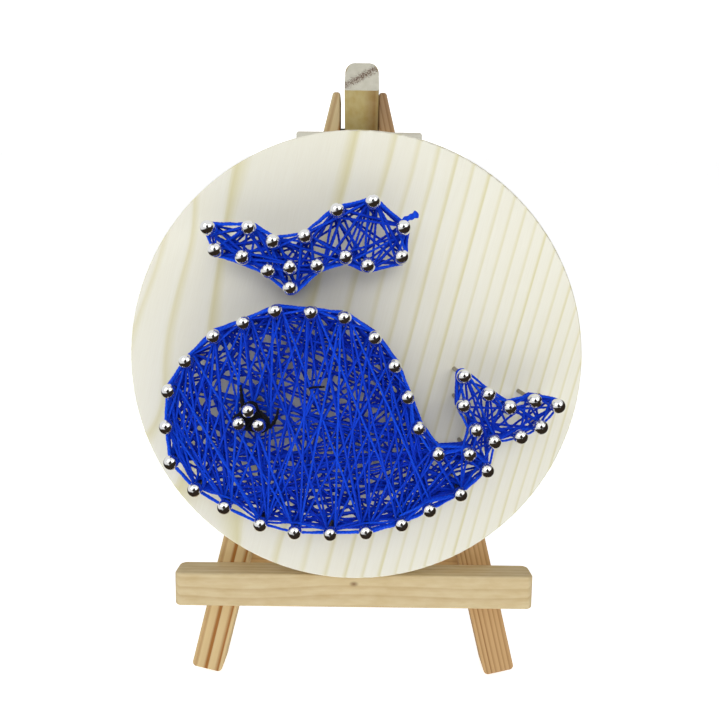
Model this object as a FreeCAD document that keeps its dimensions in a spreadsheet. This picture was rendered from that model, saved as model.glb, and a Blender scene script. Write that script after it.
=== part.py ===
"""String-art picture on a round wooden disc, standing on a folding tripod easel.

The easel frame, the ledge and the picture are laid out in the board frame: x to the right, y up
the front of the leaning disc, z out of its front face, origin at the middle of that face.  The
rear leg has a frame of its own, on the hinge pin.  Both are tilted into the row frame at the end:
+Z up, the picture facing -Y, and the origin in the middle of the base of the whole object.
Lengths are in millimetres and angles in degrees.
"""
import FreeCAD, Part
import math
import os
import Sketcher

Vector = FreeCAD.Vector

# ---------------------------------------------------------------- driving dimensions

DIMENSIONS = {
    # how the easel stands
    "lean": 15.0,
    "spread": 36.0,
    # the round picture board
    "disc_diameter": 150.0,
    "disc_thickness": 9.0,
    "picture_turn": 0.7,
    # ball-headed nails, and where the thread is wound on them
    "nail_diameter": 1.3,
    "nail_head": 4.5,
    "nail_reach": 20.2,
    "nail_bury": 6.0,
    "nail_point": 1.6,
    "pilot_extra": 0.3,
    "thread_size": 0.7,
    "thread_low": 9.0,
    "thread_high": 17.0,
    "eye_thread_high": 17.9,
    "thread_clearance": 0.05,
    "knot_diameter": 1.8,
    # front legs, of square stock
    "stock": 11.2,
    "splay": 13.9,
    "gap_half": 6.5,
    "tip_half": 9.0,
    "tip_height": 90.4,
    "foot_drop": 118.3,
    "tip_round": 1.0,
    "foot_round": 1.6,
    # ledge, crossbar and rear rail
    "ledge_length": 126.0,
    "ledge_height": 12.0,
    "ledge_depth": 10.0,
    "ledge_corner": 2.4,
    "crossbar_length": 42.0,
    "crossbar_height": 12.0,
    "crossbar_depth": 4.0,
    "crossbar_corner": 1.0,
    "rail_length": 96.0,
    "rail_height": 12.0,
    "rail_depth": 4.0,
    "rail_top": -70.0,
    "rest_gap": 0.15,
    # hinge pin and rear leg
    "pin_height": 78.2,
    "pin_diameter": 3.0,
    "pin_length": 23.0,
    "pin_clearance": 0.05,
    "stop_gap": 0.06,
    "rear_shift": 0.7,
    "rear_top_front": 16.5,
    "rear_top_back": 21.7,
    "rear_top_round": 3.4,
    # brads, the headed finishing nails that hold the frame together
    "brad_diameter": 1.2,
    "brad_head": 2.2,
    "brad_head_depth": 0.5,
    "brad_point": 1.0,
    "crossbar_brad_half": 9.4,
    "crossbar_brad_length": 12.0,
    "ledge_brad_inset": 12.5,
    "ledge_brad_rise": 2.4,
    "ledge_brad_length": 18.0,
    "rail_brad_inset": 16.8,
    "rail_brad_drop": 5.0,
    "rail_brad_length": 13.0,
    # sanded edges
    "edge_round": 0.7,
    "rail_round": 0.5,
}

# Sizes that follow from the ones above.
DERIVED = {
    "leg_front": "-(disc_thickness + rest_gap + crossbar_depth)",
    "leg_back": "-(disc_thickness + rest_gap + crossbar_depth + stock)",
    "ledge_top": "-(disc_diameter / 2 + rest_gap)",
    "crossbar_top": "pin_height - stock / 2 * tan(spread / 2 * 1deg) - stop_gap",
    "stock_across": "stock / cos(splay * 1deg)",
    "foot_half": "tip_half + (tip_height + foot_drop - stock * sin(splay * 1deg)) * tan(splay * 1deg)",
    "pin_above_floor": "(pin_height + foot_drop) * cos(lean * 1deg) + stock / 2 * sin(lean * 1deg)",
    "rear_lean": "spread - lean",
    "rear_foot": "-pin_above_floor / cos(rear_lean * 1deg)",
}

# Nail places on the disc, before the picture is turned: a cloud above a whale.  The outlines run
# clockwise.  The whale's back runs from its brow to the notch of the tail, its belly from the tail
# round the chin, and its tail from one side of the notch to the other.
CLOUD = [
    (-43.5, 42.0), (-31.5, 42.0), (-24.5, 38.0), (-15.0, 39.5), (-5.5, 47.0), (5.0, 49.5),
    (14.0, 42.0), (13.5, 33.5), (3.5, 31.0), (-3.0, 33.5), (-11.5, 31.0), (-19.5, 24.5),
    (-26.0, 29.5), (-33.5, 33.5), (-41.5, 35.5),
]
CLOUD_MIDDLE = (-19.5, 30.5)
BACK = [
    (-24.0, 17.5), (-13.5, 17.0), (-3.5, 15.5), (5.5, 9.5), (11.5, 1.0), (15.5, -8.5),
    (19.0, -18.0), (25.0, -26.0), (34.5, -26.0),
]
BELLY = [
    (40.0, -31.0), (32.0, -38.5), (22.5, -43.5), (14.0, -48.0), (3.0, -50.5), (-8.0, -51.0),
    (-19.0, -50.5), (-29.5, -48.0), (-40.5, -42.5), (-49.5, -37.0), (-56.5, -28.5),
    (-57.5, -17.5), (-56.5, -6.5), (-51.0, 2.5), (-42.5, 10.0), (-33.5, 14.0),
]
TAIL = [
    (36.5, -18.5), (32.5, -11.0), (32.5, -2.0), (40.0, -7.5), (46.5, -11.5), (54.0, -9.5),
    (61.0, -11.0), (56.0, -17.5), (50.0, -20.5), (42.0, -22.0),
]
EYE = [(-32.5, -12.5), (-35.5, -16.5), (-29.5, -17.0)]
KNOT_START = (15.2, 43.0)
KNOT_END = (18.2, 46.0)

doc = FreeCAD.newDocument("string_art_easel")
parts = []


# ---------------------------------------------------------------- sheet and small helpers

def make_sheet():
    """The spreadsheet of driving dimensions and of the sizes worked out from them."""
    cells = doc.addObject("Spreadsheet::Sheet", "Sizes")
    row = 0
    for name, value in DIMENSIONS.items():
        row += 1
        cells.set(f"A{row}", name)
        cells.set(f"B{row}", str(value))
        cells.setAlias(f"B{row}", name)
    for name, formula in DERIVED.items():
        row += 1
        cells.set(f"A{row}", name)
        cells.set(f"B{row}", "=" + formula)
        cells.setAlias(f"B{row}", name)
    doc.recompute()
    return cells


sizes = make_sheet()


def size(name):
    """A sheet value as a plain number."""
    return float(getattr(sizes, name))


def bound(formula):
    """The formula with each sheet alias pointed at the sheet, for setExpression."""
    out = formula
    for name in sorted([*DIMENSIONS, *DERIVED], key=len, reverse=True):
        out = out.replace("{" + name + "}", "Sizes." + name)
    return out


def new_body(label):
    """An empty PartDesign body that is one sub-part."""
    body = doc.addObject("PartDesign::Body", label)
    body.Label = label
    parts.append(body)
    return body


def new_sketch(body, role, height="0"):
    """A sketch on one of the body's own planes, moved along its normal by a formula."""
    number = len(body.Group)
    sketch = body.newObject("Sketcher::SketchObject", f"{body.Name}_sketch_{number}")
    plane = next(item for item in body.Origin.OriginFeatures if item.Role == role)
    sketch.AttachmentSupport = [(plane, "")]
    sketch.MapMode = "FlatFace"
    sketch.setExpression(".AttachmentOffset.Base.z", bound(height))
    return sketch


def pin_point(sketch, index, position, across, along):
    """Fix one point of a sketch at two formulas."""
    for kind, formula in (("DistanceX", across), ("DistanceY", along)):
        number = sketch.addConstraint(Sketcher.Constraint(kind, -1, 1, index, position, 1.0))
        sketch.setExpression(f"Constraints[{number}]", bound(formula))


def draw_polygon(sketch, corners):
    """A closed outline of straight lines, each corner held by a pair of formulas."""
    places = [(math.cos(k / len(corners) * math.tau), math.sin(k / len(corners) * math.tau))
              for k in range(len(corners))]
    for k, (x, y) in enumerate(places):
        following = places[(k + 1) % len(corners)]
        sketch.addGeometry(Part.LineSegment(Vector(x, y, 0), Vector(*following, 0)))
    for k in range(len(corners)):
        sketch.addConstraint(Sketcher.Constraint("Coincident", k, 2, (k + 1) % len(corners), 1))
    for k, (across, along) in enumerate(corners):
        pin_point(sketch, k, 1, across, along)


def draw_rectangle(sketch, left, right, bottom, top):
    """A rectangle between four formulas."""
    draw_polygon(sketch, [(left, bottom), (right, bottom), (right, top), (left, top)])


def draw_circle(sketch, across, along, diameter):
    """A circle with its centre at two formulas."""
    index = sketch.addGeometry(Part.Circle(Vector(1, 1, 0), Vector(0, 0, 1), 1))
    pin_point(sketch, index, 3, across, along)
    number = sketch.addConstraint(Sketcher.Constraint("Diameter", index, 2.0))
    sketch.setExpression(f"Constraints[{number}]", bound(diameter))


def pad(body, sketch, length):
    """Grow the sketch along its normal."""
    feature = body.newObject("PartDesign::Pad", f"{body.Name}_pad")
    feature.Profile = sketch
    feature.setExpression("Length", bound(length))
    doc.recompute()
    return feature


def pocket(body, sketch, depth):
    """Cut the sketch along its normal, and make sure that it removes material."""
    before = body.Shape.Volume
    feature = body.newObject("PartDesign::Pocket", f"{body.Name}_pocket_{len(body.Group)}")
    feature.Profile = sketch
    feature.Reversed = True
    feature.setExpression("Length", bound(depth))
    doc.recompute()
    if body.Shape.Volume > before - 1e-3:
        raise RuntimeError(f"{feature.Name} removes nothing")
    return feature


def round_edges(body, base, radius, wanted=None):
    """Round the edges that wanted(edge) picks, or all of them."""
    feature = body.newObject("PartDesign::Fillet", f"{body.Name}_round_{len(body.Group)}")
    names = [f"Edge{k}" for k, edge in enumerate(base.Shape.Edges, 1) if wanted is None or wanted(edge)]
    feature.Base = (base, names)
    feature.setExpression("Radius", bound(radius))
    doc.recompute()
    return feature


def runs_along(axis):
    """A test for straight edges that run along an axis of the body."""
    def test(edge):
        if edge.Curve.TypeId != "Part::GeomLine":
            return False
        return abs(abs(edge.Curve.Direction.dot(axis)) - 1) < 1e-6
    return test


# ---------------------------------------------------------------- brads and their holes

def brad_places(across, along):
    """The pair of brads of one joint, left and right."""
    return [(f"-({across})", along), (across, along)]


BRADS = {
    # node: how far across and up the board, where the head is, which way it is driven, length
    "crossbar_brads": {
        "across": "{crossbar_brad_half}",
        "along": "{crossbar_top} - {crossbar_height} / 2",
        "head": "{leg_front} + {crossbar_depth}",
        "drive": -1,
        "length": "{crossbar_brad_length}",
    },
    "ledge_brads": {
        "across": "{foot_half} - {ledge_brad_inset}",
        "along": "{ledge_top} - {ledge_height} + {ledge_brad_rise}",
        "head": "{leg_back}",
        "drive": 1,
        "length": "{ledge_brad_length}",
    },
    "rail_brads": {
        "across": "{foot_half} - {rail_brad_inset}",
        "along": "{rail_top} - {rail_brad_drop}",
        "head": "{leg_back} - {rail_depth}",
        "drive": 1,
        "length": "{rail_brad_length}",
    },
}


def brad_hole(body, node, side):
    """The hole of one brad in one piece of wood: shank and point, and the sunk head."""
    brad = BRADS[node]
    across, along = brad_places(brad["across"], brad["along"])[side]
    tip = f"{brad['head']} + ({brad['drive']}) * ({brad['length']})"
    start = tip if brad["drive"] < 0 else brad["head"]
    shank = new_sketch(body, "XY_Plane", start)
    draw_circle(shank, across, along, "{brad_diameter}")
    pocket(body, shank, brad["length"])


def brad_head_hole(body, node, side):
    """The sunk seat of a brad's head."""
    brad = BRADS[node]
    across, along = brad_places(brad["across"], brad["along"])[side]
    start = f"{brad['head']} - {{brad_head_depth}}" if brad["drive"] < 0 else brad["head"]
    seat = new_sketch(body, "XY_Plane", start)
    draw_circle(seat, across, along, "{brad_head}")
    pocket(body, seat, "{brad_head_depth}")


def evaluate(formula):
    """A bound formula worked out as a number, through a spare cell of the sheet."""
    sizes.set("D1", "=" + bound(formula).replace("Sizes.", ""))
    doc.recompute()
    return float(sizes.get("D1"))


def make_brads():
    """Each pair of brads as one node of separate solids."""
    for node, brad in BRADS.items():
        length = evaluate(brad["length"])
        head_z = evaluate(brad["head"])
        solids = []
        for across, along in brad_places(brad["across"], brad["along"]):
            place = Vector(evaluate(across), evaluate(along), head_z)
            solids.append(brad_solid(place, Vector(0, 0, brad["drive"]), length))
        add_feature(node, Part.makeCompound(solids))


def brad_solid(place, way, length):
    """One brad: a flat head flush with the wood, a round shank and a short point."""
    radius = size("brad_diameter") / 2
    head = Part.makeCylinder(size("brad_head") / 2, size("brad_head_depth"), place, way)
    straight = length - size("brad_point")
    shank = Part.makeCylinder(radius, straight, place, way)
    point = Part.makeCone(radius, radius / 5, size("brad_point"), place + way * straight, way)
    return head.fuse([shank, point]).removeSplitter().Solids[0]


def add_feature(label, shape):
    """A sub-part whose shape is made with Part's own functions."""
    feature = doc.addObject("Part::Feature", label)
    feature.Label = label
    feature.Shape = shape
    parts.append(feature)
    return feature


# ---------------------------------------------------------------- easel

def make_front_leg(label, side):
    """A splayed leg: square stock, planed upright on its inner side from the tip down."""
    body = new_body(label)
    inner_meets = "{tip_height} - ({gap_half} + {stock_across} - {tip_half}) / tan({splay} * 1deg)"
    toe = "{foot_half} - {stock} * cos({splay} * 1deg)"
    heel_height = "-({foot_drop} - {stock} * sin({splay} * 1deg))"
    outline = new_sketch(body, "XY_Plane", "{leg_back}")
    draw_polygon(outline, [
        (f"{side} * {{gap_half}}", "{tip_height}"),
        (f"{side} * {{tip_half}}", "{tip_height}"),
        (f"{side} * {{foot_half}}", heel_height),
        (f"{side} * ({toe})", "-{foot_drop}"),
        (f"{side} * {{gap_half}}", inner_meets),
    ])
    leg = pad(body, outline, "{stock}")
    across = runs_along(Vector(0, 0, 1))
    tip = round_edges(body, leg, "{tip_round}", lambda edge: across(edge)
                      and edge.BoundBox.YMin > size("tip_height") - 1)
    foot = round_edges(body, tip, "{foot_round}", lambda edge: across(edge)
                       and edge.BoundBox.YMax < size("ledge_top") - size("ledge_height"))
    round_edges(body, foot, "{edge_round}", lambda edge: not across(edge))
    bore = new_sketch(body, "YZ_Plane", "-{pin_length} / 2")
    draw_circle(bore, "{pin_height}", "{leg_back} + {stock} / 2", "{pin_diameter}")
    pocket(body, bore, "{pin_length}")
    which = 0 if side < 0 else 1
    for node in BRADS:
        brad_hole(body, node, which)
    brad_head_hole(body, "ledge_brads", which)


def make_ledge():
    """The ledge that the disc stands on, nailed to the front of the legs."""
    body = new_body("ledge")
    outline = new_sketch(body, "XY_Plane", "{leg_front}")
    draw_rectangle(outline, "-{ledge_length} / 2", "{ledge_length} / 2",
                   "{ledge_top} - {ledge_height}", "{ledge_top}")
    bar = pad(body, outline, "{ledge_depth}")
    ends = round_edges(body, bar, "{ledge_corner}", runs_along(Vector(0, 1, 0)))
    round_edges(body, ends, "{edge_round}", runs_along(Vector(1, 0, 0)))
    for side in (0, 1):
        brad_hole(body, "ledge_brads", side)


def make_crossbar():
    """The short bar across the top of the legs: the disc leans on it, the rear leg stops on it."""
    body = new_body("crossbar")
    outline = new_sketch(body, "XY_Plane", "{leg_front}")
    draw_rectangle(outline, "-{crossbar_length} / 2", "{crossbar_length} / 2",
                   "{crossbar_top} - {crossbar_height}", "{crossbar_top}")
    bar = pad(body, outline, "{crossbar_depth}")
    round_edges(body, bar, "{crossbar_corner}", runs_along(Vector(0, 0, 1)))
    for side in (0, 1):
        brad_hole(body, "crossbar_brads", side)
        brad_head_hole(body, "crossbar_brads", side)


def make_rear_rail():
    """The rail behind the legs, level with the ledge: the folded rear leg stops on it."""
    body = new_body("rear_rail")
    outline = new_sketch(body, "XY_Plane", "{leg_back} - {rail_depth}")
    draw_rectangle(outline, "-{rail_length} / 2", "{rail_length} / 2",
                   "{rail_top} - {rail_height}", "{rail_top}")
    bar = pad(body, outline, "{rail_depth}")
    round_edges(body, bar, "{rail_round}")
    for side in (0, 1):
        brad_hole(body, "rail_brads", side)
        brad_head_hole(body, "rail_brads", side)


def make_hinge_pin():
    """The plain steel pin, tight in the front legs and running in the rear leg."""
    pin = doc.addObject("Part::Cylinder", "hinge_pin")
    pin.Label = "hinge_pin"
    pin.setExpression("Radius", bound("{pin_diameter} / 2"))
    pin.setExpression("Height", bound("{pin_length}"))
    parts.append(pin)
    return pin


def make_rear_leg():
    """The swinging leg, in its own frame: origin on the pin, y up the leg, z out of its front."""
    body = new_body("rear_leg")
    side_view = new_sketch(body, "YZ_Plane", "{rear_shift} - {stock} / 2")
    slope = "{stock} / 2 * tan({rear_lean} * 1deg)"
    draw_polygon(side_view, [
        (f"{{rear_foot}} + {slope}", "{stock} / 2"),
        ("{rear_top_back}", "{stock} / 2"),
        ("{rear_top_back}", "-{stock} / 2"),
        (f"{{rear_foot}} - {slope}", "-{stock} / 2"),
    ])
    leg = pad(body, side_view, "{stock}")
    across = runs_along(Vector(0, 0, 1))
    crown = round_edges(body, leg, "{rear_top_round}", lambda edge: across(edge)
                        and edge.BoundBox.YMin > size("rear_top_front"))
    round_edges(body, crown, "{edge_round}", lambda edge: not across(edge)
                and edge.BoundBox.YMax > size("rear_top_front"))
    cut = new_sketch(body, "YZ_Plane", "-{stock}")
    draw_polygon(cut, [
        ("{rear_top_front}", "{stock} / 2"),
        ("{rear_top_back} + {stock}", "{stock} / 2"),
        ("{rear_top_back} + {stock}", "-{stock} / 2"),
        ("{rear_top_back}", "-{stock} / 2"),
    ])
    pocket(body, cut, "2 * {stock}")
    bore = new_sketch(body, "YZ_Plane", "-{stock}")
    draw_circle(bore, "0", "0", "{pin_diameter} + 2 * {pin_clearance}")
    pocket(body, bore, "2 * {stock}")
    return body


# ---------------------------------------------------------------- picture

def turned(place, height=0.0):
    """A point of the nail template on the turned picture, at a height above the disc's face."""
    angle = math.radians(size("picture_turn"))
    x, y = place
    across = x * math.cos(angle) - y * math.sin(angle)
    along = x * math.sin(angle) + y * math.cos(angle)
    return Vector(across, along, height)


def nail_solid():
    """One nail at the origin of the disc's face: point and shank in the wood, ball head on top."""
    radius = size("nail_diameter") / 2
    bottom = -size("nail_bury")
    shoulder = bottom + size("nail_point")
    up = Vector(0, 0, 1)
    point = Part.makeCone(radius / 6, radius, size("nail_point"), Vector(0, 0, bottom), up)
    shank = Part.makeCylinder(radius, size("nail_reach") - shoulder, Vector(0, 0, shoulder), up)
    head = Part.makeSphere(size("nail_head") / 2, Vector(0, 0, size("nail_reach")))
    return shank.fuse([point, head]).removeSplitter().Solids[0]


def make_nails(label, places):
    """One group of nails as one node of separate solids."""
    nail = nail_solid()
    solids = [nail.translated(turned(place)) for place in places]
    add_feature(label, Part.makeCompound(solids))


def make_disc():
    """The round board with a blind pilot hole under each nail."""
    board = doc.addObject("Part::Cylinder", "board_blank")
    board.setExpression("Radius", bound("{disc_diameter} / 2"))
    board.setExpression("Height", bound("{disc_thickness}"))
    board.setExpression(".Placement.Base.z", bound("-{disc_thickness}"))
    eased = doc.addObject("Part::Fillet", "board_eased")
    eased.Base = board
    doc.recompute()
    rim = [k for k, edge in enumerate(board.Shape.Edges, 1) if edge.Curve.TypeId == "Part::GeomCircle"]
    eased.Edges = [(k, size("edge_round"), size("edge_round")) for k in rim]
    depth = size("nail_bury") + size("pilot_extra")
    radius = size("nail_diameter") / 2
    holes = [Part.makeCylinder(radius, depth, turned(place, -depth)) for place in ALL_NAILS]
    pilots = doc.addObject("Part::Feature", "pilot_holes")
    pilots.Shape = Part.makeCompound(holes)
    disc = doc.addObject("Part::Cut", "picture_disc")
    disc.Label = "picture_disc"
    disc.Base = eased
    disc.Tool = pilots
    parts.append(disc)


def wound_field(outline, low, high):
    """The space that thread fills when it is wound across an outline of nails."""
    corners = [turned(place, low) for place in outline]
    face = Part.Face(Part.makePolygon(corners + corners[:1]))
    margin = size("nail_diameter") / 2 + size("thread_size")
    return face.makeOffset2D(margin).extrude(Vector(0, 0, high - low))


def without_nails(field):
    """The field with room for every nail that passes through it."""
    radius = size("nail_diameter") / 2 + size("thread_clearance")
    reach = size("nail_reach")
    shanks = [Part.makeCylinder(radius, reach, turned(place)) for place in ALL_NAILS]
    return field.cut(shanks)


def make_threads():
    """The wound fields of thread, the eye on top of the whale's, and the cloud's tied end."""
    low = size("thread_low")
    high = size("thread_high")
    whale = wound_field(BACK + BELLY, low, high)
    tail = wound_field(BACK[-1:] + TAIL + BELLY[:1], low, high).cut(whale)
    eye = wound_field(EYE, high, size("eye_thread_high"))
    add_feature("cloud_thread", without_nails(wound_field(CLOUD, low, high)).Solids[0])
    add_feature("body_thread", without_nails(whale).Solids[0])
    add_feature("tail_thread", largest(without_nails(tail)))
    add_feature("eye_thread", without_nails(eye).Solids[0])
    make_knot(high - size("knot_diameter"))


def largest(shape):
    """The biggest solid of a shape, dropping slivers."""
    return max(shape.Solids, key=lambda solid: solid.Volume)


def make_knot(height):
    """The tied tail of the cloud's thread, a short twisted stub with a blob at its end."""
    start = turned(KNOT_START, height)
    end = turned(KNOT_END, height)
    way = end - start
    stub = Part.makeCylinder(size("knot_diameter") / 2, way.Length, start, way)
    blob = Part.makeSphere(size("knot_diameter") * 0.75, end)
    add_feature("thread_knot", stub.fuse(blob).removeSplitter().Solids[0])


ALL_NAILS = CLOUD + [CLOUD_MIDDLE] + BACK + BELLY + TAIL + EYE


# ---------------------------------------------------------------- placing and writing

def lean_back(angle):
    """The rotation that stands a board up and leans it back, with its front towards -Y."""
    return FreeCAD.Rotation(Vector(1, 0, 0), angle)


def place_parts(pin, rear_leg):
    """Tilt every sub-part into the row frame, then put the origin under the whole object."""
    board = FreeCAD.Placement(Vector(0, 0, 0), lean_back(90 - size("lean")))
    axle = Vector(0, size("pin_height"), size("leg_back") + size("stock") / 2)
    pin_on_board = FreeCAD.Placement(axle - Vector(size("pin_length") / 2, 0, 0),
                                     FreeCAD.Rotation(Vector(0, 1, 0), 90))
    leg_on_board = FreeCAD.Placement(axle, FreeCAD.Rotation(Vector(1, 0, 0), size("spread")))
    for part in parts:
        part.Placement = board
    pin.Placement = board.multiply(pin_on_board)
    rear_leg.Placement = board.multiply(leg_on_board)
    doc.recompute()
    box = FreeCAD.BoundBox()
    for part in parts:
        box.add(part.Shape.optimalBoundingBox(False))
    down = Vector(-box.Center.x, -box.Center.y, -box.ZMin)
    for part in parts:
        part.Placement = FreeCAD.Placement(part.Placement.Base + down, part.Placement.Rotation)
    doc.recompute()
    print("size", round(box.XLength, 2), round(box.YLength, 2), round(box.ZLength, 2))
    print("hinge axis at", board.multVec(axle) + down)
    print("middle of the disc's face at", down)


def check_document():
    """Stop if any object failed or any sub-part isn't a sound solid."""
    for item in doc.Objects:
        if "Invalid" in item.State or "Error" in item.State:
            raise RuntimeError(f"{item.Name}: {item.State}")
    for part in parts:
        if part.Shape.isNull() or not part.Shape.isValid() or not part.Shape.Solids:
            raise RuntimeError(f"{part.Label} isn't a valid solid")


def write_parts():
    """One STEP file for each sub-part, named after its node."""
    os.makedirs("parts", exist_ok=True)
    for part in parts:
        part.Shape.exportStep(f"parts/{part.Label}.step")
        print(part.Label, len(part.Shape.Solids), "solids", round(part.Shape.Volume, 1), "mm3")


make_front_leg("front_leg_left", -1)
make_front_leg("front_leg_right", 1)
make_crossbar()
make_ledge()
make_rear_rail()
hinge_pin = make_hinge_pin()
make_brads()
rear_leg = make_rear_leg()
make_disc()
make_nails("cloud_nails", CLOUD + [CLOUD_MIDDLE])
make_nails("body_nails", BACK + BELLY)
make_nails("tail_nails", TAIL)
make_nails("eye_nails", EYE)
make_threads()
doc.recompute()
place_parts(hinge_pin, rear_leg)
check_document()
write_parts()
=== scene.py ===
"""Looks for the string-art whale picture on its tabletop easel."""
import math

import bpy
import numpy as np
from mathutils import Matrix, Vector


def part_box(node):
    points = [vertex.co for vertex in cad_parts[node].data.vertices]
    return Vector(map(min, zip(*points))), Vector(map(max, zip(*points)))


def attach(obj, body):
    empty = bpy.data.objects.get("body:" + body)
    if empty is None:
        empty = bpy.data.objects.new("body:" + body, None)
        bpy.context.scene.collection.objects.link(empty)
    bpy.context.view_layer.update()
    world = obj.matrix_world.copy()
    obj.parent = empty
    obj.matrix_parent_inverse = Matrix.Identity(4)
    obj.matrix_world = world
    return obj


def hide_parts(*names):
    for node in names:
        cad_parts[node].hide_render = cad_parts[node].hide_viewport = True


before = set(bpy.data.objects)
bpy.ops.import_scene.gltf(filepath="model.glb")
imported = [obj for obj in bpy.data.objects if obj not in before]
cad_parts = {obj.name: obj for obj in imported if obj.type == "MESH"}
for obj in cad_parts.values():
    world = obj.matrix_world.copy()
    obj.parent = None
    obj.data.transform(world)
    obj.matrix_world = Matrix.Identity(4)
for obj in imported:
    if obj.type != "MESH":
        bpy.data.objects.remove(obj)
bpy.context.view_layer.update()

MM = 0.001
LEAN = math.radians(15)          # how far the easel and the picture lean back
LEG_OPENING = math.radians(36)   # between the rear leg and the front legs
LEG_SPLAY = math.radians(13.9)   # of each front leg, in the plane of the two
PICTURE_TURN = math.radians(0.7)  # of the picture in its own plane, where it rests on the ledge

# ---------------------------------------------------------------- board frame
# Millimetres: x to the right, y up the front of the leaning disc, z out of its front face.

DISC_THICKNESS = 9.0
NAIL_RADIUS = 0.65
HEAD_RADIUS = 2.25
HEAD_HEIGHT = 20.2      # the middle of a ball head, out from the board


def board_axes():
    """World directions of the board frame's x, y and z."""
    up = Vector((0, math.sin(LEAN), math.cos(LEAN)))
    out = Vector((0, -math.cos(LEAN), math.sin(LEAN)))
    return Vector((1, 0, 0)), up, out


def board_origin():
    """The middle of the disc's front face, in metres."""
    low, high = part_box("picture_disc")
    return (low + high) / 2 + board_axes()[2] * (DISC_THICKNESS / 2 * MM)


AXES = np.array([list(axis) for axis in board_axes()])
ORIGIN = np.array(list(board_origin()))


def to_world(points):
    """Board millimetres to world metres."""
    return np.asarray(points, float) @ AXES * MM + ORIGIN


def to_board(points):
    """World metres to board millimetres."""
    return (np.asarray(points, float) - ORIGIN) @ AXES.T / MM


# ---------------------------------------------------------------- nails as the CAD has them

def nail_places(node):
    """Where each nail of a node stands on the board, from the narrow ring at its point."""
    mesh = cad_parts[node].data
    points = np.empty(len(mesh.vertices) * 3)
    mesh.vertices.foreach_get("co", points)
    points = to_board(points.reshape(-1, 3))
    rings = points[points[:, 2] < points[:, 2].min() + 0.3]
    places = []
    while len(rings):
        near = np.linalg.norm(rings[:, :2] - rings[0, :2], axis=1) < 1.0
        places.append(rings[near, :2].mean(axis=0))
        rings = rings[~near]
    return np.array(places)


def in_order(template, node):
    """The node's nails in the order of a template of places before the picture was turned."""
    places = nail_places(node)
    turn = np.array([[math.cos(PICTURE_TURN), math.sin(PICTURE_TURN)],
                     [-math.sin(PICTURE_TURN), math.cos(PICTURE_TURN)]])
    wanted = np.array(template) @ turn
    return np.array([places[np.argmin(np.linalg.norm(places - w, axis=1))] for w in wanted])


# The same nail template as the CAD model's, clockwise round each outline.
CLOUD = [
    (-43.5, 42.0), (-31.5, 42.0), (-24.5, 38.0), (-15.0, 39.5), (-5.5, 47.0), (5.0, 49.5),
    (14.0, 42.0), (13.5, 33.5), (3.5, 31.0), (-3.0, 33.5), (-11.5, 31.0), (-19.5, 24.5),
    (-26.0, 29.5), (-33.5, 33.5), (-41.5, 35.5), (-19.5, 30.5),
]
BACK = [
    (-24.0, 17.5), (-13.5, 17.0), (-3.5, 15.5), (5.5, 9.5), (11.5, 1.0), (15.5, -8.5),
    (19.0, -18.0), (25.0, -26.0), (34.5, -26.0),
]
BELLY = [
    (40.0, -31.0), (32.0, -38.5), (22.5, -43.5), (14.0, -48.0), (3.0, -50.5), (-8.0, -51.0),
    (-19.0, -50.5), (-29.5, -48.0), (-40.5, -42.5), (-49.5, -37.0), (-56.5, -28.5),
    (-57.5, -17.5), (-56.5, -6.5), (-51.0, 2.5), (-42.5, 10.0), (-33.5, 14.0),
]
TAIL = [
    (36.5, -18.5), (32.5, -11.0), (32.5, -2.0), (40.0, -7.5), (46.5, -11.5), (54.0, -9.5),
    (61.0, -11.0), (56.0, -17.5), (50.0, -20.5), (42.0, -22.0),
]
EYE = [(-32.5, -12.5), (-35.5, -16.5), (-29.5, -17.0)]

# ---------------------------------------------------------------- thread

THREAD_RADIUS = 0.37
PLY_LOBE = 0.13              # how much the two plies stand out of a round section
PLY_PITCH = 2.6              # length of one full twist
RING_STEP = 0.5              # along a straight strand
ARC_STEP = math.radians(28)  # round a nail
RING_SIDES = 8
PIECE_RINGS = 12000          # keeps each piece under 200 000 triangles
STRAND_SHADE = 0.3           # how much of a strand's shade is its own random tone; the rest is painted shade by its height


def left_of(way):
    """The direction a quarter turn to the left of way."""
    return np.array([-way[1], way[0]])


def tangent_way(start, end, start_side, end_side):
    """Direction of the line that leaves one circle and meets another, each on its signed side."""
    across = end - start
    distance = np.linalg.norm(across)
    tilt = math.asin(max(-0.95, min(0.95, (start_side - end_side) / distance)))
    turn = np.array([[math.cos(tilt), -math.sin(tilt)], [math.sin(tilt), math.cos(tilt)]])
    return turn @ (across / distance)


def hook_side(before, here, after):
    """+1 if the path turns left round the nail, so that it passes on the nail's right."""
    a, b = here - before, after - here
    return 1.0 if a[0] * b[1] - a[1] * b[0] >= 0 else -1.0


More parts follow.
